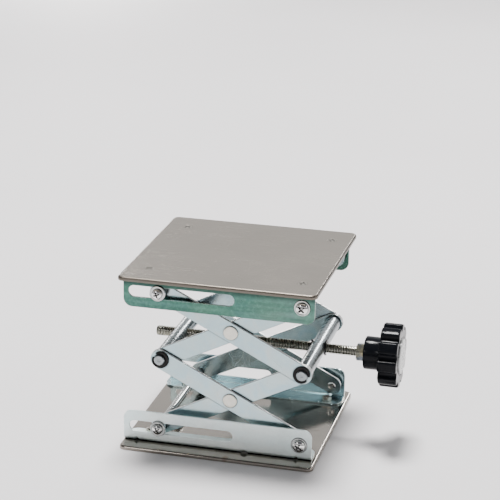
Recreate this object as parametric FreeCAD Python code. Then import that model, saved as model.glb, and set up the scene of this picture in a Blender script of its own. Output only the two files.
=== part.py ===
"""A laboratory scissor jack: two square pans, four slotted rails, eight flat links and a lead screw.

Millimetres. X runs along the lead screw with the knob at +X, Y runs from the front side (-Y) to the
rear side, +Z is up. The origin is the centre of the base's underside. The jack stands at REST_ANGLE.
"""
import FreeCAD, Part
import math
import os

V = FreeCAD.Vector
X_AXIS = V(1, 0, 0)
Y_AXIS = V(0, 1, 0)
Z_AXIS = V(0, 0, 1)
FRONT = -1
REAR = 1

# ---------------------------------------------------------------- driving dimensions
# scissor
LINK_LENGTH = 122.0  # pivot to pivot
LINK_WIDTH = 15.0
LINK_THICKNESS = 2.0
LINK_EDGE = 0.3  # rounded edge of the stamped bar
REST_ANGLE = math.radians(26.5)  # link angle above the horizontal
PIVOT_RISE = 14.9  # end pivots, from each plate's outer face
FIXED_X = 62.0  # the pivots that don't slide

# square pans of folded sheet
PLATE_SIDE = 150.0
PLATE_SHEET = 1.0
PLATE_RIM = 3.0
PLATE_CORNER = 5.0
PLATE_FOLD = 1.6  # outside radius of the fold

# slotted angle rails
RAIL_SHEET = 1.5
RAIL_OUTSIDE = 62.0  # outer face of the upright web, from the middle
RAIL_REACH = 27.3  # free edge of the web, from the plate's outer face
RAIL_FLANGE = 19.0
RAIL_BEND = 1.2  # inside radius of the bend
BASE_RAIL_LEFT = -74.5
TOP_RAIL_LEFT = -73.8  # just inside the top pan's rim
RAIL_RIGHT = 71.5
WEB_CORNER = 6.5
FLANGE_CORNER = 8.0
SLOT_LEFT = -70.0
SLOT_RIGHT = 11.0
SLOT_WIDTH = 9.0
GUSSET_X = (-64.4, 19.8, 59.7)  # gussets pressed into the bend
ROUND_GUSSET_X = 19.8  # this one is a round dimple, the others are V-shaped
GUSSET_RADIUS = 3.0
GUSSET_DEPTH = 2.4  # of the V, from the bend's theoretical corner
GUSSET_SLOPE = math.radians(55)  # half the angle of the V

# stacking of the pieces on each side, measured from the middle
LAYER_GAP = 0.1  # running gap between faces that turn on each other
OUTER_LINK_FACE = 57.05
INNER_LINK_FACE = OUTER_LINK_FACE - LINK_THICKNESS - LAYER_GAP
LINKS_INSIDE = INNER_LINK_FACE - LINK_THICKNESS
RUNNING = 0.05  # radial clearance of a pin in its hole

# cross rods at half height
ROD_DIAMETER = 12.0
ROD_PIN = 8.0  # turned-down ends
ROD_END = 59.9
ROD_GROOVE = 6.6
ROD_FLAT = 5.2  # spot face for the screw's clips, from the rod's axis
CLIP_OUTSIDE = 13.6
CLIP_THICKNESS = 1.0
CLIP_MOUTH = 4.6

# rivets where two links cross
RIVET_SHANK = 6.0
RIVET_HEAD = 11.0
RIVET_HEAD_HEIGHT = 1.0
RIVET_TAIL = 9.5
RIVET_TAIL_HEIGHT = 1.2

# screws at the fixed pivots
PIVOT_SHANK = 5.0
PIVOT_HEAD = 9.5
PIVOT_HEAD_HEIGHT = 3.4
PIVOT_WASHER = 12.0
WASHER_THICKNESS = 1.0
SPACER_DIAMETER = 10.0
PEENED_END = 6.6
PEENED_HEIGHT = 1.2

# axles that slide in the slots
AXLE_DIAMETER = 6.0
AXLE_SCREW = 4.0
AXLE_SCREW_HEAD = 8.0
AXLE_SCREW_HEAD_HEIGHT = 3.1
AXLE_SCREW_DEPTH = 8.0
BUSH_SLEEVE = 8.6
BUSH_FLANGE = 12.0
BUSH_FLANGE_THICKNESS = 1.6
BUSH_BORE = 4.1

# countersunk screws and nuts that hold the rails
RAIL_SCREW = 4.0
RAIL_SCREW_HEAD = 7.5
RAIL_SCREW_HEAD_HEIGHT = 2.2
RAIL_NUT_FLATS = 7.0
RAIL_NUT_HEIGHT = 3.2
RAIL_SCREW_X = (-57.3, 59.3)
BASE_SCREW_Y = 49.2
TOP_SCREW_Y = 51.0
THREAD_CLEARANCE = 0.04

# lead screw and knob
SCREW_DIAMETER = 7.9
SCREW_PITCH = 1.25
SCREW_LEFT = -66.7
SCREW_NECK = 6.6
SCREW_TIP_CHAMFER = 0.7
SCREW_CLIP = 12.6
LOCK_NUT_FLATS = 13.0
LOCK_NUT_HEIGHT = 6.3
LOCK_NUT_LEFT = 92.0
KNOB_HUB = 25.3
KNOB_HUB_LENGTH = 13.0
KNOB_DIAMETER = 49.0
KNOB_GRIP_LENGTH = 14.6
KNOB_LOBES = 10
KNOB_TURN = 20.5  # degrees from +Y to the middle of a groove
KNOB_GROOVE_RADIUS = 3.0
KNOB_GROOVE_DEPTH = 3.4
KNOB_LOBE_EDGE = 1.6
KNOB_EDGE = 1.0
CAP_DIAMETER = 27.0
CAP_THICKNESS = 2.6
CAP_PROUD = 1.4

# travel
LOWEST_HEIGHT = 61.0
HIGHEST_HEIGHT = 246.0

# ---------------------------------------------------------------- worked out from them
STAGE_RISE = LINK_LENGTH * math.sin(REST_ANGLE)
STAGE_SPAN = LINK_LENGTH * math.cos(REST_ANGLE)
HEIGHT = 2 * PIVOT_RISE + 2 * STAGE_RISE
SLIDE_X = FIXED_X - STAGE_SPAN
CROSS_X = (FIXED_X + SLIDE_X) / 2
BASE_PIVOT_Z = PIVOT_RISE
MIDDLE_Z = HEIGHT / 2
TOP_PIVOT_Z = HEIGHT - PIVOT_RISE
LOWER_CROSS_Z = (BASE_PIVOT_Z + MIDDLE_Z) / 2
UPPER_CROSS_Z = (MIDDLE_Z + TOP_PIVOT_Z) / 2
KNOB_LEFT = LOCK_NUT_LEFT + LOCK_NUT_HEIGHT
GRIP_LEFT = KNOB_LEFT + KNOB_HUB_LENGTH
KNOB_RIGHT = GRIP_LEFT + KNOB_GRIP_LENGTH
RAIL_INSIDE = RAIL_OUTSIDE - RAIL_SHEET


# ---------------------------------------------------------------- shape helpers
def cylinder(diameter, length, start, direction):
    """A round bar from the point start along direction."""
    return Part.makeCylinder(diameter / 2, length, start, direction)


def cross_bar(diameter, x, z, y_start, y_end):
    """A round bar parallel to Y."""
    return cylinder(diameter, y_end - y_start, V(x, y_start, z), Y_AXIS)


def side_bar(diameter, x, z, side, near, far):
    """A round bar parallel to Y on one side, between two distances from the middle."""
    return cylinder(diameter, far - near, V(x, side * near, z), Y_AXIS * side)


def edges_where(shape, test):
    return [edge for edge in shape.Edges if test(edge.BoundBox)]


def flat_at(low, high, value):
    return abs(low - value) < 1e-4 and abs(high - value) < 1e-4


def hexagon(flats, height, start, direction, turn=0.0):
    """A hexagonal prism with chamfered corners, standing on start along direction."""
    corner = flats / math.sqrt(3)
    points = []
    for i in range(7):
        angle = turn + math.radians(60 * i)
        points.append(V(corner * math.cos(angle), corner * math.sin(angle), 0))
    prism = Part.Face(Part.makePolygon(points)).extrude(V(0, 0, height))
    slope = (corner - flats / 2) * 0.6
    barrel = Part.makeCylinder(corner, height)
    rims = edges_where(barrel, lambda b: flat_at(b.ZMin, b.ZMax, 0) or flat_at(b.ZMin, b.ZMax, height))
    prism = prism.common(barrel.makeChamfer(slope, rims))
    prism.Placement = FreeCAD.Placement(start, FreeCAD.Rotation(Z_AXIS, direction))
    return prism


def cross_recess(size, depth, centre, inward, turn):
    """The cross-shaped hole of a screw head: two tapered blades, as a solid to cut away."""
    wide = size / 2
    thick = size / 7
    blades = []
    for quarter in (0, 90):
        mouth = Part.makePolygon([V(-wide, -thick, 0), V(wide, -thick, 0), V(wide, thick, 0), V(-wide, thick, 0), V(-wide, -thick, 0)])
        foot_wide = wide * 0.35
        foot_thick = thick * 0.8
        foot = Part.makePolygon([
            V(-foot_wide, -foot_thick, depth),
            V(foot_wide, -foot_thick, depth),
            V(foot_wide, foot_thick, depth),
            V(-foot_wide, foot_thick, depth),
            V(-foot_wide, -foot_thick, depth),
        ])
        blade = Part.makeLoft([mouth, foot], True)
        blade.rotate(V(0, 0, 0), Z_AXIS, quarter + turn)
        blades.append(blade)
    cross = blades[0].fuse(blades[1])
    cross.Placement = FreeCAD.Placement(centre, FreeCAD.Rotation(Z_AXIS, inward))
    return cross


def pan_head(diameter, height, side, x, z, seat, turn):
    """A domed cross-recess head whose flat underside lies at the distance seat from the middle."""
    head = side_bar(diameter, x, z, side, seat, seat + height)
    top = side * (seat + height)
    rim = edges_where(head, lambda b: flat_at(b.YMin, b.YMax, top))
    head = head.makeFillet(height * 0.55, rim)
    recess = cross_recess(diameter * 0.56, height * 0.62, V(x, top, z), Y_AXIS * -side, turn)
    return head.cut(recess)


def retaining_clip(outside, inside, mouth, thickness, start, direction, turn):
    """An open spring clip: a flat ring with a mouth and three inner lugs."""
    ring = Part.makeCylinder(outside / 2, thickness)
    relief = Part.makeCylinder(inside / 2 + 0.9, thickness)
    ring = ring.cut(relief)
    lug_depth = 1.3
    for angle in (90, 210, 330):
        lug = Part.makeBox(lug_depth, 2.4, thickness, V(inside / 2, -1.2, 0))
        lug.rotate(V(0, 0, 0), Z_AXIS, angle)
        ring = ring.fuse(lug)
    ring = ring.cut(Part.makeCylinder(inside / 2, thickness))
    gap = Part.makeBox(outside, mouth, thickness, V(0, -mouth / 2, 0))
    gap.rotate(V(0, 0, 0), Z_AXIS, 270)
    ring = ring.cut(gap).removeSplitter()
    ring.rotate(V(0, 0, 0), Z_AXIS, turn)
    ring.Placement = FreeCAD.Placement(start, FreeCAD.Rotation(Z_AXIS, direction)).multiply(ring.Placement)
    return ring


# ---------------------------------------------------------------- plates and rails
def screw_places(offset_y):
    """Where the screws that hold the rails stand, in plan."""
    return [V(x, side * offset_y, 0) for x in RAIL_SCREW_X for side in (FRONT, REAR)]


def countersink(place, face_z, direction, slack):
    """The conical seat of a countersunk head, as a solid from its outer face inwards."""
    wide = RAIL_SCREW_HEAD / 2 + slack
    narrow = RAIL_SCREW / 2 + slack
    start = V(place.x, place.y, face_z)
    cone = Part.makeCone(wide, narrow, RAIL_SCREW_HEAD_HEIGHT, start, Z_AXIS * direction)
    return cone


def pan(top_z, screw_y, sink_direction):
    """A square sheet pan, open underneath, whose upper face is at top_z."""
    half = PLATE_SIDE / 2
    bottom_z = top_z - PLATE_RIM
    outside = Part.makeBox(PLATE_SIDE, PLATE_SIDE, PLATE_RIM, V(-half, -half, bottom_z))
    outside = outside.makeFillet(PLATE_CORNER, edges_where(outside, lambda b: b.ZLength > PLATE_RIM / 2))
    rim_edges = edges_where(outside, lambda b: flat_at(b.ZMin, b.ZMax, top_z))
    outside = outside.makeFillet(PLATE_FOLD, rim_edges)
    inner = half - PLATE_SHEET
    depth = PLATE_RIM - PLATE_SHEET
    hollow = Part.makeBox(2 * inner, 2 * inner, depth, V(-inner, -inner, bottom_z))
    inner_corner = PLATE_CORNER - PLATE_SHEET
    hollow = hollow.makeFillet(inner_corner, edges_where(hollow, lambda b: b.ZLength > depth / 2))
    plate = outside.cut(hollow)
    sunk_face = top_z - PLATE_SHEET if sink_direction > 0 else top_z
    for place in screw_places(screw_y):
        plate = plate.cut(countersink(place, sunk_face, sink_direction, THREAD_CLEARANCE))
    return plate


def gusset(x, side, seat, direction):
    """One gusset of a rail: the dent in the outside of the bend and the bulge it raises inside."""
    corner = V(x, side * RAIL_OUTSIDE, seat)
    slant = math.sin(math.radians(45))
    if x == ROUND_GUSSET_X:
        dent = Part.makeSphere(GUSSET_RADIUS, corner)
        bulge = Part.makeSphere(GUSSET_RADIUS + RAIL_SHEET, corner)
    else:
        inward = V(0, -side * slant, direction * slant)
        along = V(0, side * slant, direction * slant)
        prisms = []
        for depth in (GUSSET_DEPTH, GUSSET_DEPTH + RAIL_SHEET / math.sin(GUSSET_SLOPE)):
            mouth = X_AXIS * ((depth + 2) * math.tan(GUSSET_SLOPE))
            start = corner - along * 8
            apex = start + inward * depth
            outside = start - inward * 2
            profile = Part.makePolygon([apex, outside + mouth, outside - mouth, apex])
            prisms.append(Part.Face(profile).extrude(along * 16))
        dent, bulge = prisms
    reach = 14.0
    outer = RAIL_BEND + RAIL_SHEET
    low_y = corner.y if side < 0 else corner.y - reach
    low_z = seat if direction > 0 else seat - reach
    bulge = bulge.common(Part.makeBox(reach, reach, reach, V(x - reach / 2, low_y, low_z)))
    wedge_y = corner.y if side < 0 else corner.y - outer
    wedge_z = seat if direction > 0 else seat - outer
    wedge = Part.makeBox(reach, outer, outer, V(x - reach / 2, wedge_y, wedge_z))
    bend_start = V(x - reach / 2, side * (RAIL_OUTSIDE - outer), seat + direction * outer)
    wedge = wedge.cut(cylinder(2 * outer, reach, bend_start, X_AXIS))
    return dent, bulge.cut(wedge)


def rail(side, left, seat, plate_face, direction, screw_y, sink_face):
    """A slotted angle rail. Its flange lies on the height seat and its web stands towards direction."""
    web_edge = plate_face + direction * RAIL_REACH
    rise = abs(web_edge - seat)
    outer = RAIL_BEND + RAIL_SHEET
    tilt = math.sin(math.radians(45))

    def at(inward, up):
        """A point of the section: inward from the web's outer face, up from the flange's seat."""
        return V(left, side * (RAIL_OUTSIDE - inward), seat + direction * up)

    section = Part.Wire([
        Part.LineSegment(at(outer, 0), at(RAIL_FLANGE, 0)).toShape(),
        Part.LineSegment(at(RAIL_FLANGE, 0), at(RAIL_FLANGE, RAIL_SHEET)).toShape(),
        Part.LineSegment(at(RAIL_FLANGE, RAIL_SHEET), at(outer, RAIL_SHEET)).toShape(),
        Part.Arc(
            at(outer, RAIL_SHEET),
            at(outer - RAIL_BEND * tilt, outer - RAIL_BEND * tilt),
            at(RAIL_SHEET, outer),
        ).toShape(),
        Part.LineSegment(at(RAIL_SHEET, outer), at(RAIL_SHEET, rise)).toShape(),
        Part.LineSegment(at(RAIL_SHEET, rise), at(0, rise)).toShape(),
        Part.LineSegment(at(0, rise), at(0, outer)).toShape(),
        Part.Arc(at(0, outer), at(outer - outer * tilt, outer - outer * tilt), at(outer, 0)).toShape(),
    ])
    angle = Part.Face(section).extrude(V(RAIL_RIGHT - left, 0, 0))
    web_tips = edges_where(angle, lambda b: b.YLength > RAIL_SHEET / 2 and flat_at(b.ZMin, b.ZMax, web_edge))
    angle = angle.makeFillet(WEB_CORNER, [e for e in web_tips if e.BoundBox.XLength < RAIL_SHEET])
    flange_y = side * (RAIL_OUTSIDE - RAIL_FLANGE)
    flange_tips = edges_where(angle, lambda b: b.ZLength > RAIL_SHEET / 2 and flat_at(b.YMin, b.YMax, flange_y))
    angle = angle.makeFillet(FLANGE_CORNER, [e for e in flange_tips if e.BoundBox.XLength < RAIL_SHEET])

    for x in GUSSET_X:
        dent, bulge = gusset(x, side, seat, direction)
        angle = angle.fuse(bulge).cut(dent)

    pivot_z = plate_face + direction * PIVOT_RISE
    near = RAIL_INSIDE - 1
    far = RAIL_OUTSIDE + 1
    radius = SLOT_WIDTH / 2
    ends = [side_bar(SLOT_WIDTH, x, pivot_z, side, near, far) for x in (SLOT_LEFT + radius, SLOT_RIGHT - radius)]
    low_y = min(side * near, side * far)
    middle = Part.makeBox(
        SLOT_RIGHT - SLOT_LEFT - SLOT_WIDTH,
        far - near,
        SLOT_WIDTH,
        V(SLOT_LEFT + radius, low_y, pivot_z - radius),
    )
    angle = angle.cut(middle.multiFuse(ends).removeSplitter())
    angle = angle.cut(side_bar(PIVOT_SHANK + 2 * RUNNING, FIXED_X, pivot_z, side, near, far))
    for x in RAIL_SCREW_X:
        place = V(x, side * screw_y, 0)
        hole_start = V(x, side * screw_y, seat - direction)
        hole_length = RAIL_SHEET + 2
        angle = angle.cut(cylinder(RAIL_SCREW + 2 * THREAD_CLEARANCE, hole_length, hole_start, Z_AXIS * direction))
        angle = angle.cut(countersink(place, sink_face, direction, THREAD_CLEARANCE))
    return angle.removeSplitter()


def rail_screws(screw_y, sink_face, direction, length):
    """Four countersunk screws whose heads are flush with sink_face."""
    solids = []
    for place in screw_places(screw_y):
        start = V(place.x, place.y, sink_face)
        shank = cylinder(RAIL_SCREW, length, start, Z_AXIS * direction)
        shank = shank.makeChamfer(0.5, edges_where(shank, lambda b: flat_at(b.ZMin, b.ZMax, sink_face + direction * length)))
        screw = shank.fuse(countersink(place, sink_face, direction, 0))
        screw = screw.cut(cross_recess(4.4, 1.7, start, Z_AXIS * direction, 20 + place.x))
        solids.append(screw.removeSplitter())
    return Part.makeCompound(solids)


def rail_nuts(screw_y, seat, direction):
    """Four hexagon nuts standing on the rails' flanges, with flats facing the links."""
    solids = []
    for place in screw_places(screw_y):
        start = V(place.x, place.y, seat)
        nut = hexagon(RAIL_NUT_FLATS, RAIL_NUT_HEIGHT, start, Z_AXIS * direction)
        bore = cylinder(RAIL_SCREW + 2 * THREAD_CLEARANCE, RAIL_NUT_HEIGHT, start, Z_AXIS * direction)
        solids.append(nut.cut(bore))
    return Part.makeCompound(solids)


# ---------------------------------------------------------------- links and their pins
def link(side, outer_face, start, end, end_holes):
    """A flat bar with full-round ends between two pivots, given as (x, z) pairs."""
    near = outer_face - LINK_THICKNESS
    run = V(end[0] - start[0], 0, end[1] - start[1])
    middle = (V(start[0], 0, start[1]) + V(end[0], 0, end[1])) * 0.5
    bar = Part.makeBox(run.Length, LINK_THICKNESS, LINK_WIDTH, V(-run.Length / 2, -LINK_THICKNESS / 2, -LINK_WIDTH / 2))
    caps = [cross_bar(LINK_WIDTH, x, 0, -LINK_THICKNESS / 2, LINK_THICKNESS / 2) for x in (-run.Length / 2, run.Length / 2)]
    bar = bar.multiFuse(caps).removeSplitter()
    bar = bar.makeFillet(LINK_EDGE, edges_where(bar, lambda b: b.YLength < LINK_THICKNESS / 2))
    bar.Placement = FreeCAD.Placement(
        middle + V(0, side * (near + LINK_THICKNESS / 2), 0),
        FreeCAD.Rotation(Y_AXIS, -math.degrees(math.atan2(run.z, run.x))),
    )
    places = [(start, end_holes[0]), ((middle.x, middle.z), RIVET_SHANK), (end, end_holes[1])]
    for place, pin in places:
        bar = bar.cut(side_bar(pin + 2 * RUNNING, place[0], place[1], side, near - 1, outer_face + 1))
    return bar


def crossing_rivets(z):
    """Flat-headed rivets that hold an outer link to an inner one, one on each side."""
    solids = []
    for side in (FRONT, REAR):
        head = side_bar(RIVET_HEAD, CROSS_X, z, side, OUTER_LINK_FACE + RUNNING, OUTER_LINK_FACE + RUNNING + RIVET_HEAD_HEIGHT)
        head_top = side * (OUTER_LINK_FACE + RUNNING + RIVET_HEAD_HEIGHT)
        head = head.makeFillet(0.45, edges_where(head, lambda b: flat_at(b.YMin, b.YMax, head_top)))
        tail_seat = LINKS_INSIDE - RUNNING
        tail = side_bar(RIVET_TAIL, CROSS_X, z, side, tail_seat - RIVET_TAIL_HEIGHT, tail_seat)
        tail_top = side * (tail_seat - RIVET_TAIL_HEIGHT)
        tail = tail.makeFillet(0.7, edges_where(tail, lambda b: flat_at(b.YMin, b.YMax, tail_top)))
        shank = side_bar(RIVET_SHANK, CROSS_X, z, side, tail_seat - 0.5, OUTER_LINK_FACE + 0.5)
        solids.append(shank.multiFuse([head, tail]).removeSplitter())
    return Part.makeCompound(solids)


def cross_rod(x, screw_hole):
    """A rod across the jack at half height, turned down and grooved at both ends."""
    shoulder = LINKS_INSIDE - LAYER_GAP
    rod = cross_bar(ROD_DIAMETER, x, MIDDLE_Z, -shoulder, shoulder)
    rod = rod.makeChamfer(0.5, edges_where(rod, lambda b: b.YLength < 1e-4))
    pin = cross_bar(ROD_PIN, x, MIDDLE_Z, -ROD_END, ROD_END)
    pin = pin.makeChamfer(0.6, edges_where(pin, lambda b: b.YLength < 1e-4))
    rod = rod.fuse(pin)
    for side in (FRONT, REAR):
        near = OUTER_LINK_FACE + LAYER_GAP
        groove = side_bar(ROD_PIN + 2, x, MIDDLE_Z, side, near, near + CLIP_THICKNESS + LAYER_GAP)
        groove = groove.cut(side_bar(ROD_GROOVE, x, MIDDLE_Z, side, near, near + CLIP_THICKNESS + LAYER_GAP))
        rod = rod.cut(groove)
    hole = cylinder(screw_hole, 2 * ROD_DIAMETER, V(x - ROD_DIAMETER, 0, MIDDLE_Z), X_AXIS)
    return rod.cut(hole).removeSplitter()


def spot_faced(rod, x):
    """The rod with a flat milled on both sides of the screw hole, for the clips to run on."""
    for direction in (-1, 1):
        start = V(x + direction * ROD_FLAT, 0, MIDDLE_Z)
        rod = rod.cut(cylinder(SCREW_CLIP + 1.6, ROD_DIAMETER, start, X_AXIS * direction))
    return rod


def rod_clips(x, turns):
    """Clips that keep the links on a cross rod. Each mouth faces its own way."""
    solids = []
    for side, turn in zip((FRONT, REAR), turns):
        start = V(x, side * (OUTER_LINK_FACE + 1.5 * LAYER_GAP), MIDDLE_Z)
        bore = ROD_GROOVE + 2 * RUNNING
        solids.append(retaining_clip(CLIP_OUTSIDE, bore, CLIP_MOUTH, CLIP_THICKNESS, start, Y_AXIS * side, turn))
    return Part.makeCompound(solids)


def pivot_screws(z, link_face, turns):
    """Screws on which the links turn at the fixed pivots: headed outside, peened over inside."""
    solids = []
    seat = RAIL_OUTSIDE + WASHER_THICKNESS
    for side, turn in zip((FRONT, REAR), turns):
        tail_seat = link_face - LINK_THICKNESS - RUNNING
        shank = side_bar(PIVOT_SHANK, FIXED_X, z, side, tail_seat - 0.5, seat + 0.5)
        tail = side_bar(PEENED_END, FIXED_X, z, side, tail_seat - PEENED_HEIGHT, tail_seat)
        tail_top = side * (tail_seat - PEENED_HEIGHT)
        tail = tail.makeFillet(0.6, edges_where(tail, lambda b: flat_at(b.YMin, b.YMax, tail_top)))
        head = pan_head(PIVOT_HEAD, PIVOT_HEAD_HEIGHT, side, FIXED_X, z, seat, turn)
        solids.append(head.multiFuse([shank, tail]).removeSplitter())
    return Part.makeCompound(solids)


def pivot_rings(z, diameter, near, far):
    """A pair of rings on the pivot screws: washers outside the rails or spacers inside them."""
    solids = []
    for side in (FRONT, REAR):
        ring = side_bar(diameter, FIXED_X, z, side, near, far)
        ring = ring.makeChamfer(0.2, edges_where(ring, lambda b: b.YLength < 1e-4))
        solids.append(ring.cut(side_bar(PIVOT_SHANK + 2 * RUNNING, FIXED_X, z, side, near, far)))
    return Part.makeCompound(solids)


def slide_axle(z, link_inside):
    """The bar between the two slots, tapped at both ends."""
    end = link_inside - LAYER_GAP / 2
    axle = cross_bar(AXLE_DIAMETER, SLIDE_X, z, -end, end)
    axle = axle.makeChamfer(0.4, edges_where(axle, lambda b: b.YLength < 1e-4))
    for side in (FRONT, REAR):
        tapped = AXLE_SCREW + 2 * THREAD_CLEARANCE
        axle = axle.cut(side_bar(tapped, SLIDE_X, z, side, end - AXLE_SCREW_DEPTH - 1, end))
    return axle


def slide_bushes(z, link_face):
    """Flanged bushes that run in the slots."""
    solids = []
    flange_near = RAIL_OUTSIDE + 0.15
    for side in (FRONT, REAR):
        flange = side_bar(BUSH_FLANGE, SLIDE_X, z, side, flange_near, flange_near + BUSH_FLANGE_THICKNESS)
        flange = flange.makeFillet(0.3, edges_where(flange, lambda b: b.YLength < 1e-4))
        sleeve = side_bar(BUSH_SLEEVE, SLIDE_X, z, side, link_face + RUNNING, flange_near + 0.5)
        bore = side_bar(BUSH_BORE, SLIDE_X, z, side, link_face, flange_near + BUSH_FLANGE_THICKNESS)
        solids.append(flange.fuse(sleeve).cut(bore).removeSplitter())
    return Part.makeCompound(solids)


def slide_screws(z, link_inside, turns):
    """Cross-recess screws that clamp bush, link and axle together."""
    solids = []
    seat = RAIL_OUTSIDE + 0.15 + BUSH_FLANGE_THICKNESS
    for side, turn in zip((FRONT, REAR), turns):
        head = pan_head(AXLE_SCREW_HEAD, AXLE_SCREW_HEAD_HEIGHT, side, SLIDE_X, z, seat, turn)
        shank = side_bar(AXLE_SCREW, SLIDE_X, z, side, link_inside - AXLE_SCREW_DEPTH, seat + 0.5)
        solids.append(head.fuse(shank).removeSplitter())
    return Part.makeCompound(solids)


# ---------------------------------------------------------------- lead screw and knob
def lead_screw():
    """The screw's core with its chamfered tip and the two necks that hold the clips."""
    length = KNOB_RIGHT - 4 - SCREW_LEFT
    screw = cylinder(SCREW_DIAMETER, length, V(SCREW_LEFT, 0, MIDDLE_Z), X_AXIS)
    tip = edges_where(screw, lambda b: flat_at(b.XMin, b.XMax, SCREW_LEFT))
    screw = screw.makeChamfer(SCREW_TIP_CHAMFER, tip)
    for x in screw_clip_places():
        neck = cylinder(SCREW_DIAMETER + 2, CLIP_THICKNESS + LAYER_GAP, V(x, 0, MIDDLE_Z), X_AXIS)
        core = cylinder(SCREW_NECK, CLIP_THICKNESS + LAYER_GAP, V(x, 0, MIDDLE_Z), X_AXIS)
        screw = screw.cut(neck.cut(core))
    return screw


def screw_clip_places():
    """The left faces of the screw's two necks."""
    width = CLIP_THICKNESS + LAYER_GAP
    return (FIXED_X - ROD_FLAT - LAYER_GAP - width, FIXED_X + ROD_FLAT + LAYER_GAP)


def screw_clips():
    solids = []
    for x, turn in zip(screw_clip_places(), (200, 20)):
        start = V(x + LAYER_GAP / 2, 0, MIDDLE_Z)
        bore = SCREW_NECK + 2 * RUNNING
        solids.append(retaining_clip(SCREW_CLIP, bore, CLIP_MOUTH, CLIP_THICKNESS, start, X_AXIS, turn))
    return Part.makeCompound(solids)


def lock_nut():
    start = V(LOCK_NUT_LEFT, 0, MIDDLE_Z)
    nut = hexagon(LOCK_NUT_FLATS, LOCK_NUT_HEIGHT, start, X_AXIS, math.radians(14))
    return nut.cut(cylinder(SCREW_DIAMETER + 2 * THREAD_CLEARANCE, LOCK_NUT_HEIGHT, start, X_AXIS))


def knob():
    """The star grip and its hub, bored for the screw and recessed for the cap."""
    hub = cylinder(KNOB_HUB, KNOB_HUB_LENGTH + 1, V(KNOB_LEFT, 0, MIDDLE_Z), X_AXIS)
    hub = hub.makeFillet(0.8, edges_where(hub, lambda b: flat_at(b.XMin, b.XMax, KNOB_LEFT)))
    grip = cylinder(KNOB_DIAMETER, KNOB_GRIP_LENGTH, V(GRIP_LEFT, 0, MIDDLE_Z), X_AXIS)
    centre_radius = KNOB_DIAMETER / 2 - KNOB_GROOVE_DEPTH + KNOB_GROOVE_RADIUS
    for i in range(KNOB_LOBES):
        angle = math.radians(360 * i / KNOB_LOBES + KNOB_TURN)
        y = centre_radius * math.cos(angle)
        z = MIDDLE_Z + centre_radius * math.sin(angle)
        grip = grip.cut(cylinder(2 * KNOB_GROOVE_RADIUS, KNOB_GRIP_LENGTH, V(GRIP_LEFT, y, z), X_AXIS))
    grip = grip.removeSplitter()
    lobe_edges = edges_where(grip, lambda b: b.XLength > 1 and b.YLength < 1e-3 and b.ZLength < 1e-3)
    grip = grip.makeFillet(KNOB_LOBE_EDGE, lobe_edges)
    grip = grip.makeFillet(KNOB_EDGE, edges_where(grip, lambda b: b.XLength < 1e-4))
    body = hub.fuse(grip)
    seat_depth = CAP_THICKNESS - CAP_PROUD
    seat = cylinder(CAP_DIAMETER + 2 * THREAD_CLEARANCE, seat_depth, V(KNOB_RIGHT - seat_depth, 0, MIDDLE_Z), X_AXIS)
    bore_length = KNOB_RIGHT - 4 - KNOB_LEFT
    bore = cylinder(SCREW_DIAMETER + 2 * THREAD_CLEARANCE, bore_length, V(KNOB_LEFT, 0, MIDDLE_Z), X_AXIS)
    return body.cut(seat).cut(bore).removeSplitter()


def knob_cap():
    start = V(KNOB_RIGHT - (CAP_THICKNESS - CAP_PROUD), 0, MIDDLE_Z)
    cap = cylinder(CAP_DIAMETER, CAP_THICKNESS, start, X_AXIS)
    outer_face = start.x + CAP_THICKNESS
    return cap.makeFillet(0.9, edges_where(cap, lambda b: flat_at(b.XMin, b.XMax, outer_face)))


# ---------------------------------------------------------------- the assembly
def base_parts():
    """The base pan, its two rails and everything fixed to them."""
    seat = PLATE_RIM
    sunk = PLATE_RIM - PLATE_SHEET
    screw_length = PLATE_SHEET + RAIL_SHEET + RAIL_NUT_HEIGHT + 0.8
    parts = {
        "base_plate": pan(PLATE_RIM, BASE_SCREW_Y, 1),
        "base_rail_screws": rail_screws(BASE_SCREW_Y, sunk, 1, screw_length),
        "base_rail_nuts": rail_nuts(BASE_SCREW_Y, seat + RAIL_SHEET, 1),
        "base_pivot_screws": pivot_screws(BASE_PIVOT_Z, OUTER_LINK_FACE, (62, 20)),
        "base_pivot_washers": pivot_rings(BASE_PIVOT_Z, PIVOT_WASHER, RAIL_OUTSIDE, RAIL_OUTSIDE + WASHER_THICKNESS),
        "base_pivot_spacers": pivot_rings(BASE_PIVOT_Z, SPACER_DIAMETER, OUTER_LINK_FACE + LAYER_GAP, RAIL_INSIDE),
    }
    for name, side in (("front", FRONT), ("rear", REAR)):
        parts["base_rail_" + name] = rail(side, BASE_RAIL_LEFT, seat, 0.0, 1, BASE_SCREW_Y, sunk)
    return parts


def top_parts():
    """The top pan, its two rails and everything fixed to them."""
    seat = HEIGHT - PLATE_SHEET
    screw_length = PLATE_SHEET + RAIL_SHEET + RAIL_NUT_HEIGHT + 0.5
    parts = {
        "top_plate": pan(HEIGHT, TOP_SCREW_Y, -1),
        "top_rail_screws": rail_screws(TOP_SCREW_Y, HEIGHT, -1, screw_length),
        "top_rail_nuts": rail_nuts(TOP_SCREW_Y, seat - RAIL_SHEET, -1),
        "top_pivot_screws": pivot_screws(TOP_PIVOT_Z, INNER_LINK_FACE, (45, 75)),
        "top_pivot_washers": pivot_rings(TOP_PIVOT_Z, PIVOT_WASHER, RAIL_OUTSIDE, RAIL_OUTSIDE + WASHER_THICKNESS),
        "top_pivot_spacers": pivot_rings(TOP_PIVOT_Z, SPACER_DIAMETER, INNER_LINK_FACE + LAYER_GAP, RAIL_INSIDE),
    }
    for name, side in (("front", FRONT), ("rear", REAR)):
        parts["top_rail_" + name] = rail(side, TOP_RAIL_LEFT, seat, HEIGHT, -1, TOP_SCREW_Y, HEIGHT)
    return parts


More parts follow.
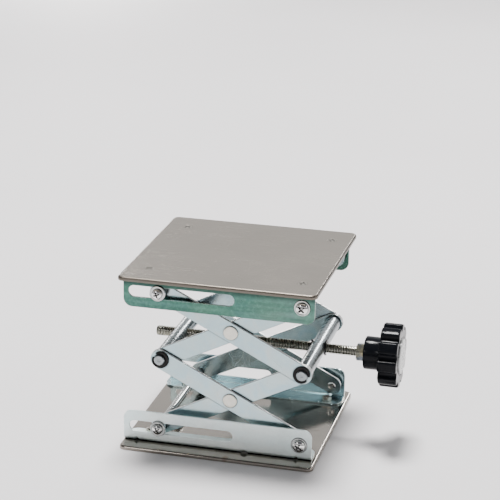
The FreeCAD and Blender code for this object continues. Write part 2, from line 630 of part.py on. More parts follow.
def scissor_parts():
    """The eight links with their rivets, and the two axles that slide."""
    base_fixed = (FIXED_X, BASE_PIVOT_Z)
    base_slide = (SLIDE_X, BASE_PIVOT_Z)
    top_fixed = (FIXED_X, TOP_PIVOT_Z)
    top_slide = (SLIDE_X, TOP_PIVOT_Z)
    middle_left = (SLIDE_X, MIDDLE_Z)
    middle_right = (FIXED_X, MIDDLE_Z)
    parts = {
        "lower_crossing_rivets": crossing_rivets(LOWER_CROSS_Z),
        "upper_crossing_rivets": crossing_rivets(UPPER_CROSS_Z),
        "base_slide_axle": slide_axle(BASE_PIVOT_Z, LINKS_INSIDE),
        "base_slide_bushes": slide_bushes(BASE_PIVOT_Z, INNER_LINK_FACE),
        "base_slide_screws": slide_screws(BASE_PIVOT_Z, LINKS_INSIDE, (35, 10)),
        "top_slide_axle": slide_axle(TOP_PIVOT_Z, OUTER_LINK_FACE - LINK_THICKNESS),
        "top_slide_bushes": slide_bushes(TOP_PIVOT_Z, OUTER_LINK_FACE),
        "top_slide_screws": slide_screws(TOP_PIVOT_Z, OUTER_LINK_FACE - LINK_THICKNESS, (20, 50)),
    }
    for name, side in (("front", FRONT), ("rear", REAR)):
        lower_outer = link(side, OUTER_LINK_FACE, base_fixed, middle_left, (PIVOT_SHANK, ROD_PIN))
        lower_inner = link(side, INNER_LINK_FACE, base_slide, middle_right, (AXLE_SCREW, ROD_PIN))
        upper_inner = link(side, INNER_LINK_FACE, middle_left, top_fixed, (ROD_PIN, PIVOT_SHANK))
        upper_outer = link(side, OUTER_LINK_FACE, middle_right, top_slide, (ROD_PIN, AXLE_SCREW))
        parts["lower_outer_link_" + name] = lower_outer
        parts["lower_inner_link_" + name] = lower_inner
        parts["upper_inner_link_" + name] = upper_inner
        parts["upper_outer_link_" + name] = upper_outer
    return parts


def drive_parts():
    """The two cross rods, the lead screw and what turns with it."""
    running_hole = SCREW_DIAMETER + 2 * RUNNING
    return {
        "threaded_cross_rod": cross_rod(SLIDE_X, running_hole),
        "threaded_rod_clips": rod_clips(SLIDE_X, (235, 60)),
        "thrust_cross_rod": spot_faced(cross_rod(FIXED_X, running_hole), FIXED_X),
        "thrust_rod_clips": rod_clips(FIXED_X, (60, 120)),
        "lead_screw": lead_screw(),
        "lead_screw_clips": screw_clips(),
        "knob_lock_nut": lock_nut(),
        "knob": knob(),
        "knob_cap": knob_cap(),
    }


def link_angle(height):
    """The links' angle when the top stands at this height."""
    return math.asin((height - 2 * PIVOT_RISE) / (2 * LINK_LENGTH))


def describe_travel():
    """Prints what the joints need: the limits of the links' angle and of the screw's turn."""
    lowest = link_angle(LOWEST_HEIGHT)
    highest = link_angle(HIGHEST_HEIGHT)
    feed = LINK_LENGTH * (math.cos(lowest) - math.cos(highest))
    screw_turn = 2 * math.pi * feed / SCREW_PITCH
    print("height at rest", round(HEIGHT, 3), "sliding pivots at x", round(SLIDE_X, 4))
    print("middle z", round(MIDDLE_Z, 4), "crossings z", round(LOWER_CROSS_Z, 4), round(UPPER_CROSS_Z, 4))
    print("link travel, degrees", math.degrees(lowest - REST_ANGLE), math.degrees(highest - REST_ANGLE))
    print("screw turns over the travel", feed / SCREW_PITCH, "link radians per screw radian", (highest - lowest) / screw_turn)


def main():
    os.makedirs("parts", exist_ok=True)
    parts = {}
    for group in (base_parts, top_parts, scissor_parts, drive_parts):
        parts.update(group())
    for name, shape in sorted(parts.items()):
        if not shape.isValid():
            print("NOT VALID:", name)
        shape.exportStep(os.path.join("parts", name + ".step"))
    print(len(parts), "nodes,", sum(len(shape.Solids) for shape in parts.values()), "solids")
    describe_travel()


main()
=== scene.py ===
import math

import bmesh
import bpy
from mathutils import Matrix, Vector


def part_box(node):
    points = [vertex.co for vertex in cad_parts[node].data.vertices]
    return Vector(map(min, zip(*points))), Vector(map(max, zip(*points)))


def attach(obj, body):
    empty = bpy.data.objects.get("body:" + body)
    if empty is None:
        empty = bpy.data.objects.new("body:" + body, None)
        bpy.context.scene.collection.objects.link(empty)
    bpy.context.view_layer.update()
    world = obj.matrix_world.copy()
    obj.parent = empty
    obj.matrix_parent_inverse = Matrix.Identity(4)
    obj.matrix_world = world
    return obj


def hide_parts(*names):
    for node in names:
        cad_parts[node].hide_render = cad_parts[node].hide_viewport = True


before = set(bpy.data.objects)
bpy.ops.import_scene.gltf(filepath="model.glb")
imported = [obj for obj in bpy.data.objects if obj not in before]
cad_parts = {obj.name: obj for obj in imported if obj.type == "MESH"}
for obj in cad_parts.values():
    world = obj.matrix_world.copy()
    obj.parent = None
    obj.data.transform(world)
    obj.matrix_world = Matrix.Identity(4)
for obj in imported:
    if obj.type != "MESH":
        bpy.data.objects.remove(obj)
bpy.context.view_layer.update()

MM = 0.001
FRONT, REAR = -1, 1


# ---------------------------------------------------------------- places and sizes, in millimetres
def box_mm(node):
    low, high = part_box(node)
    return low / MM, high / MM


def middle(node):
    low, high = box_mm(node)
    return (low + high) / 2


KNOB_LOW, KNOB_HIGH = box_mm("knob")
NUT_LOW, NUT_HIGH = box_mm("knob_lock_nut")
CAP_LOW, CAP_HIGH = box_mm("knob_cap")
SCREW_LOW, SCREW_HIGH = box_mm("lead_screw")
MID_Z = middle("lead_screw").z
THRUST_X = middle("thrust_cross_rod").x
NUTROD_X = middle("threaded_cross_rod").x
FIXED_X = middle("base_pivot_washers").x
SLIDE_X = middle("base_slide_axle").x
BASE_Z = middle("base_slide_axle").z
TOP_Z = middle("top_slide_axle").z
CROSS_X = middle("lower_crossing_rivets").x
LOWER_Z = middle("lower_crossing_rivets").z
UPPER_Z = middle("upper_crossing_rivets").z
HEIGHT = box_mm("top_plate")[1].z

# What the boxes don't give. A thread, pin, shank or bore is given by its radius.
THREAD = 3.95  # the lead screw's, and its nut's bore
THREAD_PITCH = 1.25
THREAD_DEPTH = 0.613  # in pitches
SCREW_BORE = 4.02  # through the cross rods
ROD = 6.0
ROD_PIN = 4.0
ROD_SHOULDER = 52.85  # from the middle, where the rod steps down to its pin
GROOVE = 3.3  # the radius left under a retaining clip
GROOVE_NEAR, GROOVE_FAR = 57.15, 58.25
CLIP_INSIDE = 6.7
CLIP_MOUTH = 4.6
CLIP_THICKNESS = 1.0
LINK_WIDTH = 15.0
LINK_THICKNESS = 2.0
LINK_EDGE = 0.45
PIN_BORE, PIVOT_BORE, SLIDE_BORE, RIVET_BORE = 4.05, 2.55, 2.05, 3.05
RIVET_SHANK = 3.0
PIVOT_HEAD_HEIGHT = 3.4
PIVOT_SHANK = 2.5
PEENED = 3.3  # the flattened inner end of a pivot screw
SLIDE_HEAD_HEIGHT = 3.1
SLIDE_SHANK = 2.0
BUSH_SLEEVE, BUSH_FLANGE = 4.3, 6.0
AXLE = 3.0
AXLE_BORE = 2.06  # of the axles' tapped ends and their bushes
AXLE_TAPPED = 8
RAIL_SCREW = 2.0
RAIL_SCREW_END = 6.0  # the length that shows past the nut


# ---------------------------------------------------------------- node trees
class Nodes:
    """Builds the node tree of a material or a world, a line at a time."""

    def __init__(self, owner, coordinates="Object"):
        owner.use_nodes = True
        self.owner = owner
        self.tree = owner.node_tree
        self.place = self.tree.nodes.new("ShaderNodeTexCoord").outputs[coordinates]

    def link(self, value, socket):
        if isinstance(value, bpy.types.NodeSocket):
            self.tree.links.new(value, socket)
        else:
            socket.default_value = value

    def add(self, kind, inputs, **settings):
        node = self.tree.nodes.new(kind)
        for key, value in settings.items():
            setattr(node, key, value)
        for key, value in inputs.items():
            self.link(value, node.inputs[key])
        return node

    def scaled(self, x, y, z):
        return self.add("ShaderNodeMapping", {"Vector": self.place, "Scale": (x, y, z)}).outputs["Vector"]

    def axis(self, letter):
        return self.add("ShaderNodeSeparateXYZ", {"Vector": self.place}).outputs[letter]

    def flat(self):
        """The surface's normal in the world."""
        return self.add("ShaderNodeNewGeometry", {}).outputs["Normal"]

    def facing(self):
        return self.add("ShaderNodeSeparateXYZ", {"Vector": self.flat()}).outputs

    def noise(self, scale, detail=3.0, roughness=0.5, place=None, distortion=0.0):
        inputs = {"Vector": place or self.place, "Scale": scale, "Detail": detail}
        inputs |= {"Roughness": roughness, "Distortion": distortion}
        return self.add("ShaderNodeTexNoise", inputs).outputs["Fac"]

    def scratches(self, scale, stretch, width):
        """White along thin lines that cross each other."""
        inputs = {"Vector": self.scaled(*stretch), "Scale": scale}
        cells = self.add("ShaderNodeTexVoronoi", inputs, feature="DISTANCE_TO_EDGE")
        return self.ramp(cells.outputs["Distance"], [(0.0, 1), (width, 0)])

    def ramp(self, value, stops):
        node = self.add("ShaderNodeValToRGB", {"Fac": value})
        elements = node.color_ramp.elements
        while len(elements) < len(stops):
            elements.new(0.5)
        for element, (position, tone) in zip(elements, stops):
            element.position = position
            element.color = (tone, tone, tone, 1) if isinstance(tone, (int, float)) else (*tone, 1)
        return node.outputs["Color"]

    def math(self, operation, a, b=0.0):
        return self.add("ShaderNodeMath", {0: a, 1: b}, operation=operation).outputs[0]

    def times(self, a, b):
        return self.math("MULTIPLY", a, b)

    def plus(self, a, b, weight):
        return self.math("ADD", a, self.times(b, weight))

    def remap(self, value, low, high, to_low=0.0, to_high=1.0, **settings):
        inputs = {"Value": value, "From Min": low, "From Max": high, "To Min": to_low, "To Max": to_high}
        return self.add("ShaderNodeMapRange", inputs, **settings).outputs["Result"]

    def mix(self, factor, a, b, blend="MIX"):
        node = self.add("ShaderNodeMix", {}, data_type="RGBA", blend_type=blend)
        for i, value in ((0, factor), (6, a), (7, b)):
            if isinstance(value, tuple):
                value = (*value, 1)
            self.link(value, node.inputs[i])
        return node.outputs[2]

    def bump(self, height, distance, strength=1.0, normal=None):
        inputs = {"Height": height, "Distance": distance, "Strength": strength}
        if normal is not None:
            inputs["Normal"] = normal
        return self.add("ShaderNodeBump", inputs).outputs["Normal"]

    def occlusion(self, reach, samples):
        """White in the open and dark in corners."""
        return self.add("ShaderNodeAmbientOcclusion", {"Distance": reach}, samples=samples).outputs["AO"]

    def edges(self, radius):
        """White along edges and black on flats."""
        inner = self.add("ShaderNodeBevel", {"Radius": radius}, samples=4).outputs["Normal"]
        across = self.add("ShaderNodeVectorMath", {0: inner, 1: self.flat()}, operation="DOT_PRODUCT")
        return self.remap(across.outputs["Value"], 0.98, 0.75)

    def finish(self, colour, metallic, roughness, normal, **more):
        inputs = {"Base Color": colour, "Metallic": metallic, "Roughness": roughness, "Normal": normal}
        inputs |= {key.replace("_", " "): value for key, value in more.items()}
        for key, value in inputs.items():
            self.link(value, self.tree.nodes["Principled BSDF"].inputs[key])
        return self.owner


def shaded(tint, factor):
    return tuple(min(1, value * factor) for value in tint)


# ---------------------------------------------------------------- materials, with lengths in metres
def brushed_plate(n, tint, shine, stained=False):
    """Rolled stainless sheet: fine lines along X, cloudy haze and handling scratches.

    A stained one has a few stains and a painted highlight along its edges. The other has painted shade on its
    fold and down its flange.
    """
    grain = n.noise(900, 4, 0.6, n.scaled(0.02, 1, 1))
    broad = n.noise(160, 3, 0.5, n.scaled(0.03, 1, 1))
    haze = n.noise(14, 4, 0.55)
    clouds = n.noise(38, 5, 0.6, distortion=0.6)
    rare = n.ramp(n.noise(23, 2), [(0.58, 0), (0.70, 1)])
    marks = n.times(n.scratches(70, (0.18, 1.7, 1), 0.010), rare)
    colour = n.mix(n.remap(haze, 0.3, 0.7), shaded(tint, 0.94), shaded(tint, 1.05))
    colour = n.mix(n.times(n.remap(grain, 0.3, 0.7), 0.14), colour, shaded(tint, 0.72))
    rough = n.remap(grain, 0.25, 0.75, shine - 0.03, shine + 0.04)
    rough = n.math("ADD", rough, n.remap(clouds, 0.3, 0.7, -0.02, 0.03))
    rough = n.plus(rough, marks, 0.05)
    if stained:
        stain = n.ramp(n.noise(52, 2, 0.4), [(0.69, 0), (0.74, 1)])
        colour = n.mix(n.times(stain, 0.55), colour, (0.20, 0.13, 0.09))
        # Painted highlight: a pale cream line along the edges.
        colour = n.mix(n.times(n.edges(0.0003), 0.3), colour, (0.86, 0.82, 0.74))
    else:
        # Painted shade: the fold and the flange below it are darkened, and made rougher.
        upward = n.remap(n.facing()["Z"], -1, 1)
        fold_shade = n.ramp(upward, [(0.40, 0), (0.46, 0.52), (0.60, 0.66), (0.97, 0.66), (0.992, 0)])
        colour = n.mix(fold_shade, colour, (0.05, 0.04, 0.032))
        rough = n.plus(rough, fold_shade, 0.2)
    normal = n.bump(n.plus(grain, broad, 0.6), 0.000008)
    normal = n.bump(haze, 0.00004, 1.0, normal)
    across = n.add("ShaderNodeCombineXYZ", {"Y": 1.0}).outputs["Vector"]
    return n.finish(colour, 1.0, rough, normal, Anisotropic=0.35, Tangent=across)


def zinc_plate(n, tint, patch, shine, low_tint=None, stamped=False):
    """Electroplated zinc over rolled steel: faint crystals, soft iridescent patches and a painted highlight
    along the edges.

    With a low_tint, it is a rail under the top plate: streaked, another tint below, and painted shade under
    the overhang. A stamped bar has iridescent hues, and sheared edges painted dark, partly as dark cut steel
    and partly as painted shade, with a dull white painted highlight on the upward ones.
    """
    crystals = n.add("ShaderNodeTexVoronoi", {"Vector": n.place, "Scale": 520}).outputs["Color"]
    crystal = n.add("ShaderNodeSeparateColor", {"Color": crystals}).outputs[0]
    mottle = n.noise(170, 3, 0.6)
    cloud = n.noise(24, 4, 0.55, distortion=0.8)
    wide = n.noise(9, 3, 0.5)
    lines = n.noise(700, 3, 0.55, n.scaled(0.03, 1, 1))
    base = tint
    if low_tint:
        base = n.mix(n.remap(n.axis("Z"), (HEIGHT - 27) * MM, (HEIGHT - 21) * MM), low_tint, tint)
    colour = n.mix(n.remap(cloud, 0.36, 0.68, 0, 0.6), base, patch)
    colour = n.mix(n.remap(wide, 0.40, 0.72, 0, 0.16), colour, (0.78, 0.76, 0.70))
    colour = n.mix(0.05, colour, n.ramp(crystal, [(0.0, 0.4), (1.0, 1.0)]), "MULTIPLY")
    colour = n.mix(n.remap(mottle, 0.45, 0.8, 0, 0.07), colour, (0.30, 0.36, 0.37))
    if low_tint:
        drawn = n.noise(240, 3, 0.6, n.scaled(0.05, 1, 1))
        colour = n.mix(n.remap(drawn, 0.38, 0.68, 0, 0.75), colour, shaded(tint, 0.55))
        colour = n.mix(n.remap(n.noise(430, 3, 0.7), 0.45, 0.75, 0, 0.5), colour, shaded(tint, 1.7))
        # Painted shade under the top plate's overhang.
        overhang_shade = n.remap(n.axis("Z"), (HEIGHT - 12.5) * MM, (HEIGHT - 9) * MM, 0, 0.6)
        colour = n.mix(overhang_shade, colour, (0.020, 0.026, 0.025))
    if stamped:
        hue = n.noise(58, 3, 0.55, distortion=1.4)
        colour = n.mix(n.remap(hue, 0.52, 0.70, 0, 0.42), colour, (0.52, 0.53, 0.50))
        colour = n.mix(n.remap(hue, 0.48, 0.30, 0, 0.50), colour, (0.33, 0.50, 0.60))
    open_air = n.occlusion(0.0024 if stamped else 0.0008, 8)
    # Painted shade in corners and close gaps, reaching further on stamped bars.
    colour = n.mix(n.remap(open_air, 0.55, 0.90, 0.97, 0.0), colour, (0.010, 0.011, 0.011))
    rare = n.ramp(n.noise(31, 2), [(0.57, 0), (0.64, 1)])
    scuffs = n.times(n.scratches(95, (1.4, 0.8, 0.9), 0.005), rare)
    rough = n.plus(n.remap(mottle, 0.3, 0.75, shine - 0.03, shine + 0.04), scuffs, 0.15)
    metallic = 1.0
    if stamped:
        facing = n.facing()
        sheared = n.remap(n.math("ABSOLUTE", facing["Y"]), 0.97, 0.70)
        upward = n.times(sheared, n.remap(facing["Z"], 0.02, 0.25))
        # Sheared edges: dark, partly cut steel and partly painted shade; the upward ones get a dull white
        # painted highlight.
        colour = n.mix(sheared, colour, (0.025, 0.03, 0.03))
        colour = n.mix(upward, colour, (0.97, 0.98, 0.98))
        rough = n.plus(rough, sheared, 0.12)
        metallic = n.remap(upward, 0, 1, 1.0, 0.6)
    else:
        # Painted highlight: a pale line along the edges.
        colour = n.mix(n.times(n.edges(0.0004), 0.7), colour, (0.90, 0.92, 0.92))
    normal = n.bump(n.plus(n.times(crystal, 0.12), lines, 0.6), 0.000006)
    normal = n.bump(n.noise(40, 2), 0.00005, 1.0, normal)
    return n.finish(colour, metallic, rough, normal)


def turned_steel(n, tint, shine, axis, ring_spacing=0.00022, crest=None):
    """Lathe-turned bar: fine rings round its axis, lengthwise handling marks and a little tarnish.

    With a crest, the radius of the lead screw's thread in millimetres, its roots get painted shade.
    """
    rings = n.math("SINE", n.times(n.axis(axis), 2 * math.pi / ring_spacing))
    stretch = {"X": (1, 0.03, 0.03), "Y": (0.03, 1, 0.03)}[axis]
    bands = n.noise(1500, 2, 0.5, n.scaled(*stretch))
    tarnish = n.noise(60, 4, 0.65, distortion=0.5)
    colour = n.mix(n.remap(tarnish, 0.45, 0.75, 0, 0.3), tint, shaded(tint, 0.62))
    # Painted highlight: a pale line along the edges.
    colour = n.mix(n.times(n.edges(0.0004), 0.55), colour, (0.9, 0.9, 0.88))
    if crest:
        rise = n.math("SUBTRACT", n.axis("Z"), MID_Z * MM)
        square = n.math("ADD", n.times(rise, rise), n.times(n.axis("Y"), n.axis("Y")))
        # Painted shade in the thread's roots.
        root = n.remap(n.math("SQRT", square), (crest - 0.15) * MM, (crest - 0.55) * MM, 0, 0.80)
        colour = n.mix(root, colour, (0.06, 0.06, 0.05))
    rough = n.remap(bands, 0.3, 0.7, shine - 0.04, shine + 0.05)
    normal = n.bump(n.math("ADD", n.times(rings, 0.3), bands), 0.000004)
    normal = n.bump(tarnish, 0.00003, 0.6, normal)
    return n.finish(colour, 1.0, rough, normal)


def plated_fastener(n, tint, shine, dirt=0.6, reach=0.0016, rim=(0.97, 0.97, 0.95), blotch=None, clear=0.92):
    """Bright plated screws: tumbling dents, painted shade in the corners and a painted highlight along
    exposed edges.

    The corners get painted shade, of strength dirt, within reach of each other, from an openness of clear
    downwards.
    rim is the colour painted along exposed edges: a painted highlight on screws and nuts, a painted dark
    outline on the rivets.
    """
    dents = n.noise(900, 3, 0.6)
    haze = n.noise(240, 3, 0.6)
    open_air = n.occlusion(reach, 4)
    colour = n.mix(n.remap(haze, 0.35, 0.7, 0, 0.25), tint, shaded(tint, 0.75))
    # Painted shade in corners and recesses.
    colour = n.mix(n.remap(open_air, 0.30, clear, dirt, 0.0), colour, shaded(tint, 0.05))
    if blotch:
        colour = n.mix(n.remap(n.noise(110, 2, 0.4, distortion=0.5), 0.42, 0.58), colour, blotch)
    exposed = n.remap(open_air, 0.50, 0.80, 0, 0.7)
    # Painted along exposed edges in the rim colour: a highlight, dark on the rivets.
    colour = n.mix(n.times(n.edges(0.00025), exposed), colour, rim)
    rough = n.remap(dents, 0.3, 0.7, shine - 0.04, shine + 0.06)
    return n.finish(colour, 1.0, rough, n.bump(dents, 0.000012))


def black_oxide(n):
    """Blackened spring steel, greyer where its edges have rubbed."""
    fine = n.noise(1100, 3, 0.6)
    blotch = n.noise(200, 3, 0.6)
    colour = n.mix(n.remap(blotch, 0.3, 0.7), (0.008, 0.008, 0.009), (0.022, 0.021, 0.020))
    colour = n.mix(n.times(n.edges(0.0002), 0.30), colour, (0.30, 0.29, 0.28))
    return n.finish(colour, 0.9, n.remap(fine, 0.3, 0.7, 0.30, 0.45), n.bump(fine, 0.000015))


def moulded_black(n):
    """Glossy black phenolic: faint orange peel, dust and fine wiping scratches."""
    peel = n.noise(260, 3, 0.5)
    flow = n.noise(45, 3, 0.6, distortion=1.2)
    dust = n.ramp(n.noise(1500, 2, 0.7), [(0.70, 0), (0.78, 1)])
    colour = n.mix(n.remap(flow, 0.3, 0.7), (0.003, 0.0035, 0.005), (0.007, 0.008, 0.010))
    colour = n.mix(n.times(dust, 0.03), colour, (0.5, 0.5, 0.5))
    swirl = n.scratches(120, (0.5, 1.6, 1.1), 0.006)
    rough = n.plus(n.remap(flow, 0.3, 0.7, 0.10, 0.17), swirl, 0.12)
    return n.finish(colour, 0.0, rough, n.bump(peel, 0.00002, 0.6), IOR=1.46, Specular_IOR_Level=0.10)


def moulded_grey(n):
    """Satin cap with a faint flow pattern."""
    peel = n.noise(500, 3, 0.5)
    flow = n.noise(70, 3, 0.6)
    colour = n.mix(n.remap(flow, 0.3, 0.7), (0.52, 0.53, 0.52), (0.66, 0.67, 0.66))
    return n.finish(colour, 0.35, n.remap(peel, 0.3, 0.7, 0.22, 0.36), n.bump(peel, 0.00003, 0.7))


def pale_floor(n):
    fine = n.noise(420, 4, 0.7)
    wide = n.noise(1.3, 3, 0.5)
    colour = n.mix(n.remap(wide, 0.3, 0.7), (0.70, 0.685, 0.69), (0.76, 0.745, 0.75))
    colour = n.mix(n.remap(fine, 0.35, 0.75, 0, 0.07), colour, (0.5, 0.49, 0.5))
    return n.finish(colour, 0.0, 0.75, n.bump(fine, 0.0005, 0.35))


MATERIALS = {}


def material(name, recipe, *settings, **more):
    MATERIALS[name] = recipe(Nodes(bpy.data.materials.new(name)), *settings, **more)


material("top_stainless", brushed_plate, (0.32, 0.29, 0.25), 0.24)
material("base_stainless", brushed_plate, (0.33, 0.30, 0.265), 0.10, stained=True)
# The front and rear base rails are the same plated part: the front one's tint is lifted as painted light, the
# rear one's lowered as painted shade.
material("base_rail", zinc_plate, (0.90, 0.99, 0.98), (0.78, 0.95, 0.97), 0.50)
material("rear_rail_shaded", zinc_plate, (0.52, 0.68, 0.71), (0.42, 0.62, 0.68), 0.24)
# Top rails: a dark green tint, partly the plating's green and partly painted shade under the top plate.
UNDER_RIM = {"low_tint": (0.07, 0.165, 0.125)}
material("top_rail", zinc_plate, (0.075, 0.185, 0.14), (0.065, 0.15, 0.17), 0.24, **UNDER_RIM)
material("link", zinc_plate, (0.44, 0.56, 0.585), (0.39, 0.53, 0.58), 0.22, stamped=True)
material("rod", turned_steel, (0.30, 0.33, 0.345), 0.27, "Y")
material("axle", turned_steel, (0.42, 0.43, 0.42), 0.13, "Y")
material("bush", turned_steel, (0.50, 0.52, 0.51), 0.16, "Y")
material("thread", turned_steel, (0.62, 0.61, 0.53), 0.25, "X", ring_spacing=0.0009, crest=THREAD)
material("fastener", plated_fastener, (0.86, 0.86, 0.84), 0.06, dirt=1.2)
# Countersunk heads: strong painted shade in the cross recess, with a painted highlight round it.
material("sunk", plated_fastener, (0.40, 0.37, 0.32), 0.12, 3.0, 0.0022, (0.97, 0.95, 0.92), clear=0.97)
# Rivets: painted shade around the heads and a painted dark outline along their edges.
material("rivet", plated_fastener, (0.74, 0.72, 0.64), 0.34, 0.9, 0.0012, (0.03, 0.03, 0.028))
# Yellow passivate blotches, and a painted highlight along the nut's edges.
PASSIVATED_EDGE_LIT = {"rim": (0.9, 0.88, 0.8), "blotch": (0.30, 0.34, 0.38)}
material("yellow_nut", plated_fastener, (0.50, 0.46, 0.30), 0.18, 0.7, **PASSIVATED_EDGE_LIT)
material("plated_nut", plated_fastener, (0.66, 0.64, 0.56), 0.16)
material("black_oxide", black_oxide)
material("moulded_black", moulded_black)
material("moulded_grey", moulded_grey)
material("floor", pale_floor)


# ---------------------------------------------------------------- shapes: (vertices, faces) in millimetres
def placed(shape, place, direction, turn=0.0):
    """The shape with its origin at place, its Z along direction, and turned about that."""
    aim = Vector(direction).to_track_quat("Z", "Y").to_matrix().to_4x4()
    return moved(shape, Matrix.Translation(Vector(place)) @ aim @ Matrix.Rotation(math.radians(turn), 4, "Z"))


def moved(shape, matrix):
    verts, faces = shape
    return [tuple(matrix @ Vector(v)) for v in verts], faces


def joined(shapes):
    verts, faces = [], []
    for more_verts, more_faces in shapes:
        start = len(verts)
        verts += more_verts
        faces += [tuple(i + start for i in face) for face in more_faces]
    return verts, faces


def mirrored(half):
    """A whole profile from the half above its middle, which ends at height 0."""
    return half + [(radius, -height) for radius, height in reversed(half[:-1])]


def lathe(profile, segments=48, closed=False):
    """Turns (radius, height) pairs about Z. A radius of 0 ends in one point."""
    verts, faces, rows = [], [], []
    for radius, height in profile:
        if radius < 1e-6:
            rows.append([len(verts)])
            verts.append((0, 0, height))
            continue
        rows.append(list(range(len(verts), len(verts) + segments)))
        for i in range(segments):
            angle = 2 * math.pi * i / segments
            verts.append((radius * math.cos(angle), radius * math.sin(angle), height))
    pairs = list(zip(rows, rows[1:]))
    if closed:
        pairs.append((rows[-1], rows[0]))
    for a, b in pairs:
        for i in range(segments):
            j = (i + 1) % segments
            if len(a) == 1:
                faces.append((a[0], b[j], b[i]))
            elif len(b) == 1:
                faces.append((a[i], a[j], b[0]))
            else:
                faces.append((a[i], a[j], b[j], b[i]))
    return verts, faces


def between_rings(rings, count, closed=False):
    """The faces between rings of count points, and from the last to the first if closed."""
    faces = []
    for ring in range(rings if closed else rings - 1):
        a, b = ring * count, (ring + 1) % rings * count
        for i in range(count):
            j = (i + 1) % count
            faces.append((a + i, a + j, b + j, b + i))
    return faces


def slab(outline, holes, thickness, edge, steps):
    """A flat plate with softly broken edges: outline and holes are lists of (x, y) points."""
    curve = bpy.data.curves.new("slab", "CURVE")
    curve.dimensions = "2D"
    curve.fill_mode = "BOTH"
    curve.extrude = thickness / 2 - edge
    curve.bevel_depth = edge
    curve.offset = -edge
    curve.bevel_resolution = steps
    for loop in [outline, *holes]:
        spline = curve.splines.new("POLY")
        spline.points.add(len(loop) - 1)
        for point, (x, y) in zip(spline.points, loop):
            point.co = (x, y, 0, 1)
        spline.use_cyclic_u = True
    carrier = bpy.data.objects.new("slab", curve)
    bpy.context.scene.collection.objects.link(carrier)
    shape = evaluated(carrier, 1)
    bpy.data.objects.remove(carrier)
    bpy.data.curves.remove(curve)
    return shape


def evaluated(obj, unit):
    """The shape of an object with its modifiers, in units of the given size."""
    bpy.context.view_layer.update()
    mesh = bpy.data.meshes.new_from_object(obj.evaluated_get(bpy.context.evaluated_depsgraph_get()))
    shape = [tuple(v.co / unit) for v in mesh.vertices], [tuple(p.vertices) for p in mesh.polygons]
    bpy.data.meshes.remove(mesh)
    return shape


def carved(shape, cutters):
    """The shape with other closed shapes cut out of it."""
    objects = []
    for i, solid in enumerate((shape, *cutters)):
        objects.append(bpy.data.objects.new(f"solid_{i}", mesh_from(solid)))
        bpy.context.scene.collection.objects.link(objects[i])
    for cutter in objects[1:]:
        modifier = objects[0].modifiers.new("cut", "BOOLEAN")
        modifier.operation = "DIFFERENCE"
        modifier.solver = "EXACT"
        modifier.object = cutter
    result = evaluated(objects[0], MM)
    for obj in objects:
        mesh = obj.data
        bpy.data.objects.remove(obj)
        bpy.data.meshes.remove(mesh)
    return result


def circle(radius, x=0.0, count=40):
    angles = [2 * math.pi * i / count for i in range(count)]
    return [(x + radius * math.cos(a), radius * math.sin(a)) for a in angles]


def cross_cutter(size, depth, height):
    """The driver's cross point: four tapered wings and a cone at the bottom, mouth at the given height."""
    wide, thick = size / 2, size * 0.115
    inner = thick * 1.35
    points = []
    for quarter in range(4):
        a = math.pi / 2 * quarter
        along = Vector((math.cos(a), math.sin(a)))
        side = Vector((-along.y, along.x))
        points += [along * inner - side * thick, along * wide - side * thick]
        points += [along * wide + side * thick, along * inner + side * thick]
    rows = []
    levels = ((1.06, height + 0.4), (1.0, height), (0.62, height - depth * 0.72), (0.34, height - depth))
    for share, level in levels:
        rows.append([(p.x * share, p.y * share, level) for p in points])
    count = len(points)
    faces = between_rings(len(rows), count)
    faces.append(tuple(range(count)))
    faces.append(tuple((len(rows) - 1) * count + i for i in reversed(range(count))))
    return [v for row in rows for v in row], faces


def thread(radius, pitch, low, high, segments, chamfer, limit=None):
    """A real screw thread along Z from low to high, flat ended, with chamfered tips.

    limit gives the greatest radius at a height, for grooves.
    """
    root = radius - THREAD_DEPTH * pitch
    section = ((0.0, root), (0.36, radius), (0.50, radius), (0.86, root))
    verts, faces = [], []
    steps = (int((high - low) / pitch) + 3) * segments
    for j in range(steps + 1):
        angle = 2 * math.pi * j / segments
        start = low - 1.5 * pitch + pitch * j / segments
        for share, r in section:
            height = start + share * pitch
            tip = min(height - low, high - height)
            if tip < chamfer:
                r = min(r, max(root * 0.92, radius - chamfer + max(tip, 0)))
            if limit:
                r = min(r, limit(height))
            verts.append((r * math.cos(angle), r * math.sin(angle), min(max(height, low), high)))
    for j in range(steps):
        a, b = j * 4, (j + 1) * 4
        for k in range(3):
            faces.append((a + k, b + k, b + k + 1, a + k + 1))
        if j + segments < steps:
            c, d = (j + segments) * 4, (j + segments + 1) * 4
            faces.append((a + 3, b + 3, d, c))
    for level in (low, high):
        ring = len(verts)
        verts += [(x, y, level) for x, y in circle(root * 0.9, 0, segments)]
        centre = len(verts)
        verts.append((0, 0, level))
        outer = len(verts)
        verts += [(x, y, level) for x, y in circle(min(radius - chamfer, root + 0.2), 0, segments)]
        for i in range(segments):
            j = (i + 1) % segments
            faces.append((ring + i, ring + j, centre))
            faces.append((outer + i, outer + j, ring + j, ring + i))
    return verts, faces


